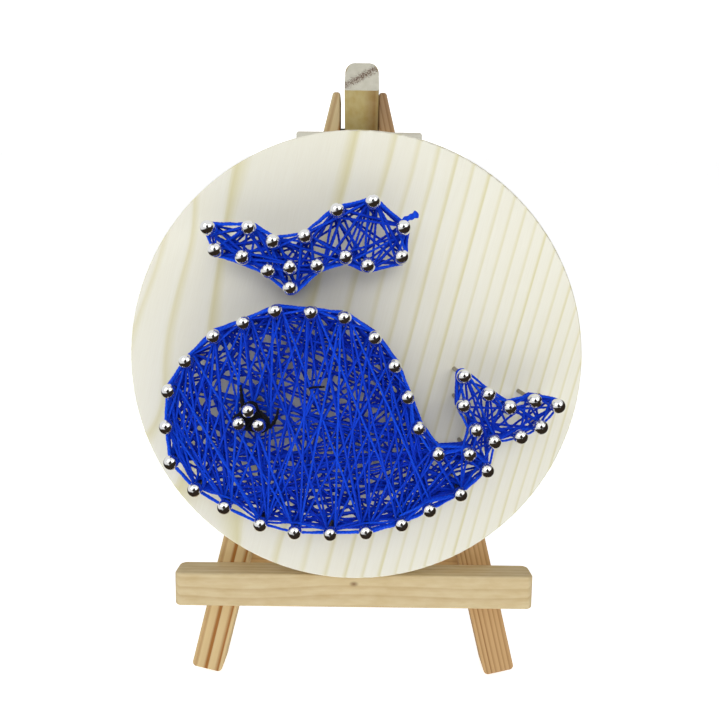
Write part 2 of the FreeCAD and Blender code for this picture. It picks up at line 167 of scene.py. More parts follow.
def wind(nails, visits, low, high, rng, wander=0.06, spread=0.32):
    """The centre line of a thread wound from nail to nail.

    visits is a list of (nail, full turns, side). The side is +1 to pass on a nail's right and -1
    on its left, more than 1 to pass further out, and 0 for the side that the thread hooks on.
    The thread climbs each nail from low to high in the order of the visits, and its turns lie up
    to spread further out than the nail's own skin of thread.
    Returns the points, in board millimetres, and a shade for each: a random tone of its own plus
    painted shade by height, so that the strands wound last, on top of the rest, are the brighter
    ones.
    """
    visits = [visit for k, visit in enumerate(visits) if k == 0 or visit[0] != visits[k - 1][0]]
    first, rise = climbs(len(nails), visits, low, high, rng)
    sides = passing_sides(nails, visits, spread, rng)
    wound = np.zeros(len(nails))
    points, shades = [], []
    for k, (nail, turns, _) in enumerate(visits):
        height = first[nail] + rise[nail] * wound[nail]
        wound[nail] += 1 + turns
        arrive, depart = ways_at(nails, visits, sides, k)
        hook = round_nail(nails[nail], arrive, depart, sides[k], turns, height,
                          climb=0.9 * rise[nail] * turns)
        if points:
            strand(points, shades, points[-1], hook[0], rng, wander)
        points += hook
        shades += [rng.random()] * len(hook)
    points = np.array(points)
    # Painted shade: the lower a point lies, the darker its strand is made.
    level = np.clip((points[:, 2] - low) / (high - low), 0, 1)
    return points, STRAND_SHADE * np.array(shades) + (1 - STRAND_SHADE) * level ** 1.8


def climbs(count, visits, low, high, rng):
    """The height of the first turn on each nail, and how far apart its turns lie."""
    total = np.zeros(count)
    for nail, turns, _ in visits:
        total[nail] += 1 + turns
    first = low + rng.uniform(-0.3, 0.5, count)
    last = high - rng.uniform(0.0, 0.7, count)
    return first, (last - first) / np.maximum(total, 1)


def passing_sides(nails, visits, spread, rng):
    """How far from the nail's axis the thread passes at each visit: plus is on its right."""
    sides = []
    for k, (nail, _, side) in enumerate(visits):
        if side == 0:
            before = nails[visits[max(k - 1, 0)][0]]
            after = nails[visits[min(k + 1, len(visits) - 1)][0]]
            side = hook_side(before, nails[nail], after)
        sides.append(side * (NAIL_RADIUS + THREAD_RADIUS + rng.uniform(0.0, spread)))
    return sides


def ways_at(nails, visits, sides, k):
    """The directions in which the thread arrives at visit k and departs from it."""
    stops = [nails[visit[0]] for visit in visits[max(k - 1, 0):k + 2]]
    reach = sides[max(k - 1, 0):k + 2]
    ways = [tangent_way(stops[i], stops[i + 1], reach[i], reach[i + 1])
            for i in range(len(stops) - 1)]
    return ways[0], ways[-1]


def round_nail(centre, arrive, depart, side, turns, height, climb):
    """Points round a nail, from where the thread touches it to where it leaves."""
    sense = math.copysign(1.0, side)
    begin = math.atan2(*(-left_of(arrive) * sense)[::-1])
    finish = math.atan2(*(-left_of(depart) * sense)[::-1])
    swing = (finish - begin) * sense % math.tau
    if swing > 1.8 * math.pi:
        swing -= math.tau
    swing += turns * math.tau
    steps = max(2, int(abs(swing) / ARC_STEP) + 1)
    points = []
    for j in range(steps + 1):
        angle = begin + sense * swing * j / steps
        spot = centre + abs(side) * np.array([math.cos(angle), math.sin(angle)])
        points.append((*spot, height + climb * j / steps))
    return points


def strand(points, shades, start, end, rng, wander):
    """A tight stretch of thread between two nails, a little off straight."""
    start, end = np.array(start), np.array(end)
    length = np.linalg.norm(end - start)
    count = max(2, int(length / RING_STEP))
    t = np.linspace(0, 1, count + 1)[1:-1]
    line = start + (end - start) * t[:, None]
    swell = np.sin(t * math.pi)
    waves = rng.uniform(1.0, 1.0 + length / 8, 2)
    phases = rng.uniform(0, math.tau, 2)
    way = (end - start)[:2] / max(np.linalg.norm((end - start)[:2]), 1e-6)
    sway = wander * swell * np.sin(waves[0] * math.tau * t + phases[0])
    line[:, :2] += sway[:, None] * left_of(way)
    line[:, 2] += 3 * wander * swell * np.sin(waves[1] * math.tau * t + phases[1])
    points.extend(map(tuple, line))
    shades.extend([rng.random()] * len(line))


def tube_mesh(name, points, shades, radius=THREAD_RADIUS, lobe=PLY_LOBE, pitch=PLY_PITCH):
    """A closed two-ply tube along points given in board millimetres."""
    along = np.gradient(points, axis=0)
    along /= np.linalg.norm(along, axis=1)[:, None] + 1e-12
    outward = np.array([0.0, 0.0, 1.0])
    side = np.cross(along, outward)
    side /= np.linalg.norm(side, axis=1)[:, None] + 1e-12
    over = np.cross(side, along)
    travelled = np.concatenate([[0], np.cumsum(np.linalg.norm(np.diff(points, axis=0), axis=1))])
    around = np.arange(RING_SIDES) * math.tau / RING_SIDES
    twist = travelled[:, None] * math.tau / pitch
    reach = np.reshape(radius, (-1, 1)) * (1 + lobe * np.cos(2 * (around[None, :] - twist)))
    ring = (side[:, None] * (np.cos(around) * reach)[..., None]
            + over[:, None] * (np.sin(around) * reach)[..., None])
    vertices = to_world((points[:, None] + ring).reshape(-1, 3))
    count = len(points)
    k, j = np.meshgrid(np.arange(count - 1), np.arange(RING_SIDES), indexing="ij")
    following = (j + 1) % RING_SIDES
    quads = np.stack([k * RING_SIDES + j, (k + 1) * RING_SIDES + j,
                      (k + 1) * RING_SIDES + following, k * RING_SIDES + following], axis=-1)
    faces = quads.reshape(-1, 4).tolist()
    faces.append(list(range(RING_SIDES)))
    faces.append(list(range((count - 1) * RING_SIDES, count * RING_SIDES))[::-1])
    mesh = bpy.data.meshes.new(name)
    mesh.from_pydata(vertices.tolist(), [], faces)
    # shade carries each strand's random tone and its painted shade by height to the thread
    # material.
    values = {"shade": np.repeat(shades, RING_SIDES),
              "length": np.repeat(travelled, RING_SIDES),
              "turn": np.tile(around, count) - np.repeat(twist[:, 0], RING_SIDES)}
    for label, value in values.items():
        attribute = mesh.attributes.new(label, "FLOAT", "POINT")
        attribute.data.foreach_set("value", value.astype(np.float32))
    mesh.shade_smooth()
    return mesh


def add_piece(name, mesh, material, body, slot, *nodes):
    """Link a piece, give it its material, and let it ride and stand for CAD nodes."""
    piece = bpy.data.objects.new(name, mesh)
    bpy.context.scene.collection.objects.link(piece)
    mesh.materials.append(material)
    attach(piece, body)
    if nodes:
        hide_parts(*nodes)


def add_thread(name, points, shades, material, slot, *nodes):
    """A wound thread as one or more pieces, each small enough for the export."""
    pieces = max(1, math.ceil(len(points) / PIECE_RINGS))
    cuts = np.linspace(0, len(points) - 1, pieces + 1).astype(int)
    for k in range(pieces):
        part = slice(cuts[k], cuts[k + 1] + 1)
        label = f"{name}_{k + 1}" if pieces > 1 else name
        mesh = tube_mesh(label, points[part], shades[part])
        add_piece(label, mesh, material, "picture", slot, *nodes)


# ---------------------------------------------------------------- how each field is wound

def inside(outline, spots):
    """For each spot, whether it lies inside the outline."""
    x, y = spots[:, 0], spots[:, 1]
    hit = np.zeros(len(spots), bool)
    for a, b in zip(outline, np.roll(outline, -1, axis=0)):
        crosses = (a[1] > y) != (b[1] > y)
        rise = b[1] - a[1] if b[1] != a[1] else 1e-9
        hit ^= crosses & (x < (b[0] - a[0]) * (y - a[1]) / rise + a[0])
    return hit


def stays_inside(outline, a, b):
    """Whether the straight line between two nails keeps inside the outline, nails aside."""
    t = np.linspace(0.05, 0.95, 40)[:, None]
    return inside(outline, a + (b - a) * t).all()


def criss_cross(nails, outline, rng, count, shortest, longest):
    """A run of chords from nail to nail, across the field, that favours nails with few turns."""
    used = np.zeros(len(nails))
    here, run = 0, []
    allowed = [[j for j in range(len(nails)) if j != i
                and shortest < np.linalg.norm(nails[i] - nails[j]) < longest
                and stays_inside(outline, nails[i], nails[j])] for i in range(len(nails))]
    while len(run) < count:
        options = allowed[here] or [(here + 1) % len(outline)]
        weights = np.array([math.exp(-0.7 * used[j]) for j in options])
        here = int(rng.choice(options, p=weights / weights.sum()))
        used[here] += 1
        used -= 1.0 / len(nails)
        run.append((here, 0, 0))
    return run


HOOK = (0,)              # the side that the thread hooks on
WEAVE = (1.0, -1.0)      # in and out of the nails in turn
OUTSIDE = (-1.0, -1.35)  # clockwise round the outer side, on top of the turns already there


def round_outline(order, turns=0, sides=HOOK, start=0):
    """Once round an outline of nails, past them on the sides in turn."""
    turned = order[start:] + order[:start] + [order[start]]
    return [(nail, turns, sides[k % len(sides)]) for k, nail in enumerate(turned)]


def join(visits, ring, run):
    """Go on with a run, after a walk round the outline to the nail where it begins."""
    here, goal = visits[-1][0], run[0][0]
    size = len(ring)
    if here < size and goal < size:
        step = 1 if (goal - here) % size <= size / 2 else -1
        while here != goal:
            here = (here + step) % size
            visits.append((here, 0, 0))
    visits.extend(run)


def zigzag(nails, upper, lower, shift):
    """Up and down between two rows of nails, with the lower row read shift nails along.

    Where a strand would leave the outline, the thread hooks on a nail further back in the row.
    """
    run = []
    last = len(lower) - 1
    for k, nail in enumerate(upper):
        following = upper[min(k + 1, len(upper) - 1)]
        pick = int(max(0, min(last, round(k / (len(upper) - 1) * last + shift))))
        while pick > 0 and not (stays_inside(nails, nails[nail], nails[lower[pick]])
                                and stays_inside(nails, nails[lower[pick]], nails[following])):
            pick -= 1
        run += [(nail, 0, 0), (lower[pick], 0, 0)]
    return run


def lattice(nails, upper, lower, start, down, up):
    """Across two rows of nails by long slanting strands down and short steep ones up.

    start, down and up are shares of a row's length: where the first strand begins, and how far
    along each strand down and each strand up goes.
    """
    run = []
    share = start
    while share < 1:
        top = upper[round(max(0, share) * (len(upper) - 1))]
        bottom = lower[round(max(0, min(1, share + down)) * (len(lower) - 1))]
        if stays_inside(nails, nails[top], nails[bottom]):
            run += [(top, 0, 0), (bottom, 0, 0)]
        share += down + up
    return run


def wind_whale(material):
    """The whale's body: chords in all directions, zigzags, an open lattice and the outline."""
    rng = np.random.default_rng(11)
    nails = in_order(BACK + BELLY, "body_nails")
    ring = list(range(len(nails)))
    back = len(BACK)
    upper = ring[-5:] + ring[:back]   # over the head and down the back to the tail's root
    lower = ring[back:-5][::-1]       # along the belly, from the head to the tail's root
    visits = round_outline(ring, turns=1)
    visits += criss_cross(nails, nails, rng, count=195, shortest=15.0, longest=110.0)
    join(visits, ring, round_outline(ring, sides=WEAVE, start=3))
    join(visits, ring, zigzag(nails, upper, lower, shift=0.9))
    join(visits, ring, zigzag(nails, upper, lower, shift=-1.9)[::-1])
    for k in range(6):
        run = lattice(nails, upper, lower, start=0.045 * k - 0.2, down=0.2, up=0.07)
        join(visits, ring, run if k % 2 == 0 else run[::-1])
    join(visits, ring, round_outline(ring, sides=WEAVE, start=3))
    join(visits, ring, round_outline(ring, sides=OUTSIDE, start=6))
    notch = ring[4:back + 1]          # where the back dips and turns up to the tail
    join(visits, ring, [(nail, 1, -1.2) for nail in notch])
    join(visits, ring, round_outline(ring, sides=OUTSIDE[::-1], start=back))
    join(visits, ring, round_outline(ring, start=12))
    points, shades = wind(nails, visits, 9.0, 17.2, rng, spread=0.5)
    add_thread("whale_strands", points, shades, material, "blue_thread", "body_thread")


def wind_tail(material):
    """The tail and its root, wound loosely."""
    rng = np.random.default_rng(5)
    body = in_order(BACK + BELLY, "body_nails")
    tail = in_order(TAIL, "tail_nails")
    nails = np.vstack([body[len(BACK) - 1], tail, body[len(BACK)]])
    ring = list(range(len(nails)))
    visits = round_outline(ring)
    visits += criss_cross(nails, nails, rng, count=50, shortest=8.0, longest=24.0)
    join(visits, ring, round_outline(ring, sides=WEAVE, start=5))
    join(visits, ring, round_outline(ring, sides=OUTSIDE, start=4))
    join(visits, ring, [(nail, 0, -1.2) for nail in (3, 2, 1, 0, 11, 0, 1, 2)])
    points, shades = wind(nails, visits, 13.5, 17.0, rng, spread=0.4)
    add_thread("tail_strands", points, shades, material, "blue_thread", "tail_thread")


def wind_cloud(material):
    """The cloud, with one nail inside its outline."""
    rng = np.random.default_rng(23)
    nails = in_order(CLOUD, "cloud_nails")
    outline = nails[:-1]
    ring = list(range(len(outline)))
    visits = round_outline(ring, turns=1)
    visits += criss_cross(nails, outline, rng, count=165, shortest=7.0, longest=25.0)
    join(visits, ring, round_outline(ring, sides=WEAVE, start=5))
    join(visits, ring, round_outline(ring, sides=OUTSIDE, start=7))
    join(visits, ring, round_outline(ring, sides=OUTSIDE[::-1], start=7))
    join(visits, ring, round_outline(ring, turns=1, sides=OUTSIDE, start=6))
    points, shades = wind(nails, visits, 10.5, 17.2, rng, spread=0.5)
    add_thread("cloud_strands", points, shades, material, "blue_thread", "cloud_thread")


def wind_eye(material):
    """The eye: a thick black pad round three nails, two loose ends and a stray bit of thread."""
    rng = np.random.default_rng(3)
    nails = in_order(EYE, "eye_nails")
    reach = (0.75, 0.9, 1.0)   # how wide the pad goes round each nail
    visits = []
    for k in range(26):
        for step in range(3):
            nail = (k + step) % 3
            crossing = -1 if (k + nail) % 4 == 0 else 1
            visits.append((nail, k % 2, crossing * reach[nail]))
    points, shades = wind(nails, visits, 16.2, 17.9, rng, wander=0.04, spread=1.8)
    add_thread("eye_strands", points, shades, material, "black_thread", "eye_thread")
    upper_end = [(-33.6, -13.4, 17.4), (-34.6, -11.6, 17.6), (-34.9, -9.0, 17.5),
                 (-35.3, -5.4, 17.2)]
    lower_end = [(-29.6, -19.0, 17.5), (-27.9, -18.7, 17.6), (-25.9, -17.9, 17.6),
                 (-24.4, -15.6, 17.5), (-23.8, -12.6, 16.9)]
    stray_bit = [(-14.3, -6.3, 16.7), (-12.7, -5.9, 17.1), (-11.0, -5.8, 17.2),
                 (-9.6, -5.8, 16.8)]
    for name, spots, thick, thin in (("eye_end_upper", upper_end, 0.8, 0.36),
                                     ("eye_end_lower", lower_end, 0.8, 0.36),
                                     ("eye_stray_bit", stray_bit, 0.4, 0.3)):
        line = smooth_line(spots)
        taper = np.linspace(thick, thin, len(line))
        # One middling shade for every point of these pieces: a middling painted shade in the thread
        # material.
        mesh = tube_mesh(name, line, np.full(len(line), 0.4), taper, lobe=0.2, pitch=3.4)
        add_piece(name, mesh, material, "picture", "black_thread")


def tie_knot(material):
    """The cloud's tied tail: two plies twisted hard together, ending in a frayed blob."""
    line = smooth_line([(13.0, 43.9, 16.4), (14.3, 45.0, 16.8), (16.0, 45.8, 16.7),
                        (17.9, 46.8, 16.4)])
    along = np.linspace(0, 1, len(line))
    blob = 0.28 * np.exp(-((along - 0.88) / 0.12) ** 2)
    tip = -0.3 * np.exp(-((along - 1) / 0.03) ** 2)
    # A shade of 0.6: a lighter painted shade than the eye's loose ends.
    mesh = tube_mesh("knot_tail", line, np.full(len(line), 0.6), 0.85 + blob + tip, lobe=0.16,
                     pitch=3.6)
    add_piece("knot_tail", mesh, material, "picture", "blue_thread", "thread_knot")


def smooth_line(spots):
    """A smooth line through spots, with points every quarter of a millimetre or so."""
    spots = np.array(spots, float)
    ends = np.vstack([2 * spots[0] - spots[1], spots, 2 * spots[-1] - spots[-2]])
    line = []
    for k in range(len(spots) - 1):
        before, start, end, after = ends[k:k + 4]
        count = max(3, int(np.linalg.norm(end - start) / 0.22))
        t = np.linspace(0, 1, count, endpoint=k == len(spots) - 2)[:, None]
        line.append(0.5 * (2 * start + (end - before) * t
                           + (2 * before - 5 * start + 4 * end - after) * t ** 2
                           + (3 * start - 3 * end + after - before) * t ** 3))
    return np.vstack(line)


# ---------------------------------------------------------------- material building blocks

class Nodes:
    """Shader nodes added to one tree."""

    def __init__(self, tree):
        self.tree = tree

    def node(self, kind, values=None, **settings):
        """Add a node; values are sockets to link or constants to set, by input name or number."""
        made = self.tree.nodes.new(kind)
        for key, value in settings.items():
            setattr(made, key, value)
        for key, value in (values or {}).items():
            self.feed(made.inputs[key], value)
        return made

    def feed(self, socket, value):
        """Link or set one input."""
        if isinstance(value, bpy.types.NodeSocket):
            self.tree.links.new(value, socket)
        else:
            socket.default_value = value

    def math(self, operation, a, b=0.0, c=0.0):
        """One sum."""
        return self.node("ShaderNodeMath", {0: a, 1: b, 2: c}, operation=operation).outputs[0]

    def mix(self, share, a, b, blend="MIX"):
        """Two colours mixed."""
        made = self.node("ShaderNodeMix", {0: share, 6: a, 7: b}, data_type="RGBA",
                         blend_type=blend)
        return made.outputs[2]

    def tint(self, colour, by):
        """A colour multiplied by another."""
        return self.mix(1.0, colour, by, "MULTIPLY")

    def dot(self, a, b):
        """The dot product of two vectors."""
        return self.node("ShaderNodeVectorMath", {0: a, 1: b},
                         operation="DOT_PRODUCT").outputs["Value"]

    def fade(self, value, start, full):
        """How far a value has come from start, 0, to full, 1, whichever of them is larger."""
        return self.node("ShaderNodeMapRange", {0: value, 1: start, 2: full}).outputs[0]

    def noise(self, place, scale, detail=2.0, roughness=0.5):
        """A noise value between 0 and 1."""
        made = self.node("ShaderNodeTexNoise", {"Vector": place, "Scale": scale, "Detail": detail,
                                                "Roughness": roughness})
        return made.outputs["Fac"]

    def stretched(self, place, x, y, z):
        """A place scaled along each axis."""
        return self.node("ShaderNodeMapping", {"Vector": place, "Scale": (x, y, z)}).outputs[0]

    def ramp(self, value, stops):
        """A colour ramp; stops are (place, colour)."""
        made = self.node("ShaderNodeValToRGB", {"Fac": value})
        elements = made.color_ramp.elements
        while len(elements) < len(stops):
            elements.new(0.5)
        for element, (place, colour) in zip(elements, stops):
            element.position = place
            element.color = colour
        return made.outputs["Color"]


class Maker(Nodes):
    """A node material being made."""

    def __init__(self, name):
        self.material = bpy.data.materials.new(name)
        self.material.use_nodes = True
        super().__init__(self.material.node_tree)
        self.shader = self.tree.nodes["Principled BSDF"]

    def place(self):
        """Where a point of the piece is when the object is at rest, in metres."""
        return self.node("ShaderNodeTexCoord").outputs["Object"]

    def normal(self):
        """Which way the surface itself faces."""
        return self.node("ShaderNodeNewGeometry").outputs["True Normal"]

    def bump(self, height, strength, distance):
        """Send a height to the shader's normal."""
        made = self.node("ShaderNodeBump", {"Height": height, "Strength": strength,
                                            "Distance": distance})
        self.feed(self.shader.inputs["Normal"], made.outputs["Normal"])

    def set(self, **values):
        """Set or link shader inputs, with underscores for spaces."""
        for key, value in values.items():
            self.feed(self.shader.inputs[key.replace("_", " ")], value)


def srgb(red, green, blue):
    """A screen colour, 0 to 255, as the linear colour that the shaders use."""
    def linear(value):
        value /= 255
        return value / 12.92 if value <= 0.04045 else ((value + 0.055) / 1.055) ** 2.4
    return (linear(red), linear(green), linear(blue), 1.0)


# ---------------------------------------------------------------- wood

LEG_STOCK = 11.2        # the legs are square
REAR_SHIFT = 0.7        # how far the rear leg stands to the right of the middle
REAR_TOP_FRONT = 16.5   # the rear leg's end cut above its pin, on the front face
REAR_TOP_BACK = 21.7    # and on the back face


def grain_place(maker, along, across, pith):
    """Millimetres in a piece of wood: z along its grain, with the tree's pith on the z axis."""
    z = Vector(along).normalized()
    x = (Vector(across) - z * Vector(across).dot(z)).normalized()
    y = z.cross(x)
    turn = Matrix((x, y, z))
    shift = -(turn @ Vector(pith)) / MM
    made = maker.node("ShaderNodeMapping", {
        "Vector": maker.place(), "Location": shift, "Rotation": turn.to_euler("XYZ"),
        "Scale": (1 / MM, 1 / MM, 1 / MM)})
    return made.outputs[0]


class Timber:
    """How one piece of wood was cut from the tree, and its colours."""

    def __init__(self, along, across, pith, ring, early, late):
        self.along = Vector(along).normalized()
        self.across = Vector(across)
        self.pith = Vector(pith)          # a point on the tree's axis, in metres
        self.ring = ring                  # width of a growth ring, in millimetres
        self.early = early                # colour of the pale early wood
        self.late = late                  # colour of the dark late wood
        self.wave = 1.0                   # how far the rings wander, in millimetres
        self.uneven = 1.0                 # how much the ring widths differ
        self.late_share = 0.35            # how much of a ring is late wood
        self.contrast = 1.0
        self.end_tone = (0.8, 0.74, 0.66, 1)   # tint of the end grain
        self.roughness = 0.62


def growth_rings(maker, place, timber):
    """How dark the late wood is at each place, 0 to about 1."""
    bend = maker.noise(maker.stretched(place, 0.02, 0.02, 0.012), 1.0, detail=1.5)
    spread = maker.math("MULTIPLY_ADD", bend, 2 * timber.wave, -timber.wave)
    parts = maker.node("ShaderNodeSeparateXYZ", {0: place})
    x = maker.math("ADD", parts.outputs[0], spread)
    y = maker.math("MULTIPLY_ADD", spread, 0.6, parts.outputs[1])
    radius = maker.math("SQRT", maker.math("ADD", maker.math("MULTIPLY", x, x),
                                           maker.math("MULTIPLY", y, y)))
    rings = maker.math("DIVIDE", radius, timber.ring)
    uneven = maker.node("ShaderNodeTexNoise", {"W": maker.math("MULTIPLY", rings, 0.23),
                                               "Scale": 1.0, "Detail": 1.0},
                        noise_dimensions="1D").outputs["Fac"]
    count = maker.math("ADD", rings, maker.math("MULTIPLY", uneven, 1.6 * timber.uneven))
    phase = maker.math("FRACT", count)
    late = maker.ramp(phase, [(0.0, (0.3, 0.3, 0.3, 1)), (0.08, (0, 0, 0, 1)),
                              (1 - timber.late_share, (0.08, 0.08, 0.08, 1)),
                              (0.93, (1, 1, 1, 1)), (1.0, (0.45, 0.45, 0.45, 1))])
    strength = maker.node("ShaderNodeTexNoise", {"W": maker.math("FLOOR", count), "Scale": 0.73,
                                                 "Detail": 0.0}, noise_dimensions="1D").outputs[0]
    late = maker.math("MULTIPLY", late, maker.math("MULTIPLY_ADD", strength, 1.2, 0.4))
    return maker.math("MULTIPLY", late, timber.contrast)


def wood(name, timber, finish=None):
    """Sanded softwood: growth rings round the pith, fine fibres along the grain, end grain.

    finish(maker, colour) may add marks of a single piece, and on the rear leg painted light on its
    end cut.
    """
    maker = Maker(name)
    place = grain_place(maker, timber.along, timber.across, timber.pith)
    late = growth_rings(maker, place, timber)
    base = maker.mix(late, timber.early, timber.late)
    fibre = maker.noise(maker.stretched(place, 2.6, 2.6, 0.09), 1.0, detail=3.0, roughness=0.6)
    tone = maker.noise(maker.stretched(place, 0.05, 0.05, 0.02), 1.0, detail=2.0)
    base = maker.mix(maker.math("MULTIPLY_ADD", fibre, 0.5, -0.1), base,
                     maker.tint(base, (0.86, 0.82, 0.74, 1)))
    base = maker.mix(maker.math("MULTIPLY_ADD", tone, 0.7, -0.2), base,
                     maker.tint(base, (0.95, 0.92, 0.86, 1)))
    if finish:
        base = finish(maker, base)
    base = end_grain(maker, base, place, timber)
    relief = maker.math("MULTIPLY_ADD", fibre, 0.6, maker.math("MULTIPLY", late, 0.4))
    maker.bump(relief, 0.25, 0.00012)
    maker.set(Base_Color=base,
              Roughness=maker.math("MULTIPLY_ADD", fibre, 0.14, timber.roughness - 0.07))
    maker.shader.inputs["Specular IOR Level"].default_value = 0.3
    return maker.material


def end_grain(maker, colour, place, timber):
    """The colour with darker pores wherever the surface cuts across the grain."""
    facing = maker.math("ABSOLUTE", maker.dot(maker.normal(), timber.along))
    pores = maker.noise(place, 3.0, detail=2.0)
    cut = maker.tint(colour, timber.end_tone)
    cut = maker.mix(maker.math("MULTIPLY", pores, 0.5), cut, maker.tint(cut, (0.7, 0.6, 0.5, 1)))
    return maker.mix(maker.math("POWER", facing, 6.0), colour, cut)


def disc_wood(centre, right, up, out):
    """Pale pine with broad bands on the left that close up to the right."""
    slant = math.radians(14)
    along = right * math.sin(slant) + up * math.cos(slant)
    pith = centre - (39 * right + 118.4 * out) * MM
    timber = Timber(along, right, pith, 2.5, srgb(233, 232, 219), srgb(214, 207, 158))
    timber.wave = 4.5
    timber.uneven = 0.15
    timber.late_share = 0.28
    timber.contrast = 0.62
    return wood("disc_pine", timber)


# A tint that grows with height towards a leg's tip.
def tint_towards_tip(centre, up, tint, start=65.0, full=85.0):
    """A finish that tints a leg towards its tip, over a height in millimetres above the centre."""
    middle = centre.dot(up)

    def finish(maker, colour):
        height = maker.dot(maker.place(), up)
        share = maker.fade(height, middle + start * MM, middle + full * MM)
        return maker.mix(share, colour, maker.tint(colour, tint))
    return finish


def left_leg_wood(centre, right, up, out):
    """Three strong stripes down the front."""
    along = up * math.cos(LEG_SPLAY) + right * math.sin(LEG_SPLAY)
    across = right * math.cos(LEG_SPLAY) - up * math.sin(LEG_SPLAY)
    outer_foot = centre + (-59.98 * right - 115.6 * up) * MM
    pith = outer_foot - across * 84.0 * MM - out * 18.0 * MM
    timber = Timber(along, across, pith, 4.1, srgb(212, 188, 140), srgb(158, 104, 48))
    timber.wave = 0.5
    timber.uneven = 0.0
    timber.late_share = 0.42
    timber.contrast = 1.15
    return wood("left_leg_pine", timber, tint_towards_tip(centre, up, (0.9, 0.97, 1.1, 1)))


def right_leg_wood(centre, right, up, out):
    """Finer, browner stripes."""
    along = up * math.cos(LEG_SPLAY) - right * math.sin(LEG_SPLAY)
    pith = centre + right * 0.13 - out * 0.05
    timber = Timber(along, right, pith, 1.9, srgb(198, 162, 114), srgb(146, 104, 60))
    timber.wave = 0.9
    timber.uneven = 0.8
    timber.late_share = 0.5
    timber.contrast = 0.75
    return wood("right_leg_pine", timber, tint_towards_tip(centre, up, (0.72, 0.74, 0.88, 1)))


def rear_leg_wood(centre, right, up, out):
    """Olive-tan towards its top, with a pale sloping end cut, partly painted light, that a dark
    crack crosses.
    """
    lean = LEG_OPENING - LEAN
    along = Vector((0, -math.sin(lean), math.cos(lean)))
    front = Vector((0, -math.cos(lean), -math.sin(lean)))
    low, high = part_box("hinge_pin")
    pin = (low + high) / 2
    half = LEG_STOCK / 2
    lip = pin + (along * REAR_TOP_FRONT + front * half + right * (REAR_SHIFT - half)) * MM
    rise = (along * (REAR_TOP_BACK - REAR_TOP_FRONT) - front * LEG_STOCK).normalized()
    cut_normal = right.cross(rise).normalized()
    if cut_normal.dot(along) < 0:
        cut_normal = -cut_normal
    timber = Timber(along, right, pin - right * 0.03 - front * 0.06, 5.2, srgb(206, 178, 130),
                    srgb(142, 92, 46))
    timber.late_share = 0.3
    timber.contrast = 0.8
    # No darker end grain on this leg, so the end cut stays pale: partly painted light.
    timber.end_tone = (1, 1, 1, 1)
    top_tint = tint_towards_tip(centre, up, (0.8, 0.92, 0.86, 1), start=35.0, full=62.0)

    # The rear leg's marks: a tint towards the top, blotches, and its end cut with painted light.
    def finish(maker, colour):
        sides = blotched(maker, top_tint(maker, colour))
        on_cut = maker.fade(maker.dot(maker.normal(), cut_normal), 0.8, 0.95)
        return maker.mix(on_cut, sides, torn_cut(maker, lip, (rise - right * 0.75) / MM))
    return wood("rear_leg_pine", timber, finish)


def blotched(maker, colour):
    """A colour with soft browner blotches."""
    blotch = maker.fade(maker.noise(maker.place(), 420.0, detail=3.0), 0.35, 0.7)
    return maker.mix(blotch, colour, maker.tint(colour, (0.9, 0.84, 0.66, 1)))


def torn_cut(maker, lip, slope):
    """A pale end cut, partly its own tone and partly painted light, that rises from its lip, with a
    dark torn crack slanting across it.
    """
    place = maker.place()
    across = maker.math("ADD", maker.dot(place, slope), -lip.dot(slope) - 1.9)
    jag = maker.noise(place, 1500.0, detail=4.0, roughness=0.7)
    middle = maker.math("MULTIPLY_ADD", jag, 7.0, maker.math("SUBTRACT", across, 3.5))
    crack = maker.fade(maker.math("ABSOLUTE", middle), 2.3, 0.5)
    torn = maker.fade(maker.noise(place, 2600.0), 0.3, 0.6)
    # Painted light: the end cut faces up to the lamps, and these pale colours stand partly for that
    # light.
    pale = maker.mix(maker.noise(place, 400.0, detail=3.0), srgb(216, 214, 202),
                     srgb(184, 182, 164))
    return maker.mix(maker.math("MULTIPLY", crack, torn), pale, srgb(92, 62, 44))


def ledge_wood(centre, right, up, out):
    """Faint mottled grain along the ledge, with one small knot on the middle of its front."""
    timber = Timber(right, up, centre - up * 0.14 - out * 0.1, 1.6, srgb(213, 196, 156),
                    srgb(178, 144, 98))
    timber.wave = 2.2
    timber.late_share = 0.5
    timber.contrast = 0.34
    knot_place = centre - (up * 78.4 + out * 3.15) * MM

    def finish(maker, colour):
        place = maker.place()
        mottle = maker.noise(maker.stretched(place, 150.0, 500.0, 500.0), 1.0, detail=4.0)
        colour = maker.mix(maker.fade(mottle, 0.35, 0.75), colour,
                           maker.tint(colour, (0.9, 0.85, 0.77, 1)))
        away = maker.node("ShaderNodeVectorMath", {0: place, 1: knot_place}, operation="SUBTRACT")
        away = maker.stretched(away.outputs[0], 0.6, 1.0, 1.0)
        far = maker.node("ShaderNodeVectorMath", {0: away}, operation="LENGTH").outputs["Value"]
        knot = maker.fade(far, 1.1 * MM, 0.2 * MM)
        return maker.mix(maker.math("MULTIPLY", knot, 0.8), colour, srgb(118, 84, 52))
    return wood("ledge_pine", timber, finish)


def plain_wood(name, centre, right, up, out, early, late):
    """Wood of the small bars, with its grain along them."""
    timber = Timber(right, up, centre + up * 0.1 - out * 0.1, 1.8, early, late)
    timber.contrast = 0.5
    return wood(name, timber)


def dress_wood():
    """Every piece of wood, each cut from its own place in a tree."""
    right, up, out = board_axes()
    place = (Vector(ORIGIN), right, up, out)
    paint("picture_disc", disc_wood(*place))
    paint("front_leg_left", left_leg_wood(*place))
    paint("front_leg_right", right_leg_wood(*place))
    paint("rear_leg", rear_leg_wood(*place))
    paint("ledge", ledge_wood(*place))
    paint("crossbar", plain_wood("crossbar_pine", *place, srgb(216, 215, 204), srgb(186, 178, 160)))
    paint("rear_rail", plain_wood("rail_pine", *place, srgb(204, 172, 122), srgb(150, 104, 60)))


def paint(node, material):
    """Give a CAD node a material."""
    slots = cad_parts[node].data.materials
    slots.clear()
    slots.append(material)


# ---------------------------------------------------------------- metal and thread

